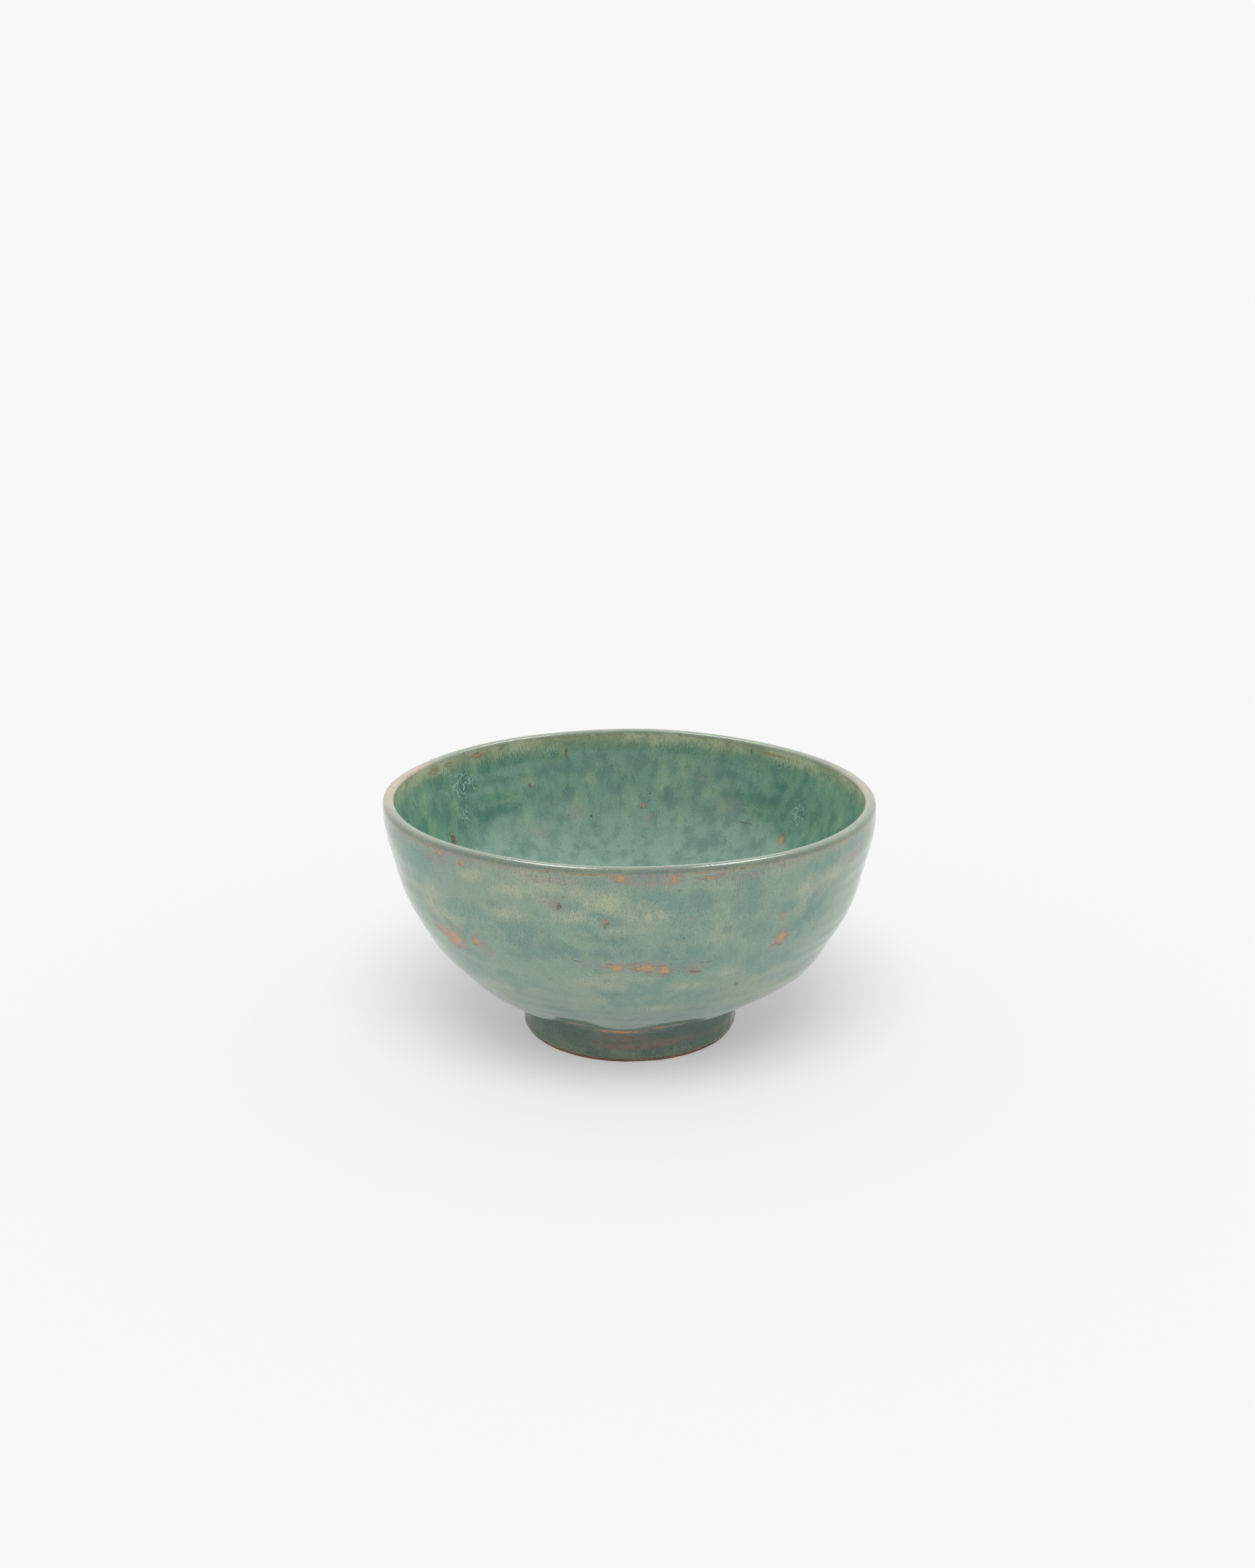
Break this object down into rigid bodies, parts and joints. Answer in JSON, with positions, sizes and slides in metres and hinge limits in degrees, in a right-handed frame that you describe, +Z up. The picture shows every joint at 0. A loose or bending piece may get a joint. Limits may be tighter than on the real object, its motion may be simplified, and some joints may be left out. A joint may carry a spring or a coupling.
{
  "type": "matcha bowl",
  "caption": "Round, deep tea bowl of glazed stoneware on a low ring foot, with a glossy, mottled sage green glaze inside and out.",
  "frame": {"origin": "centre of the foot ring's base, on the surface that the bowl stands on", "axes": "+Z up along the axis that the bowl was turned about; X and Y are level, and -Y faces the viewer"},
  "size_m": [0.14, 0.14, 0.071],
  "materials": {
    "stoneware": "bare fired clay, matte and slightly gritty",
    "inside_glaze": "glossy, deep sage green with yellow-green clouds and blue-teal runs",
    "outside_glaze": "glossy, mottled sage green that breaks to orange-brown at the lip and where it has crawled"
  },
  "bodies": {
    "root": {"bowl_body": "stoneware", "foot_ring": "stoneware", "luting_bead": "stoneware", "inside_glaze": "inside_glaze", "outside_glaze": "outside_glaze", "foot_well_glaze": "outside_glaze"}
  },
  "joints": []
}
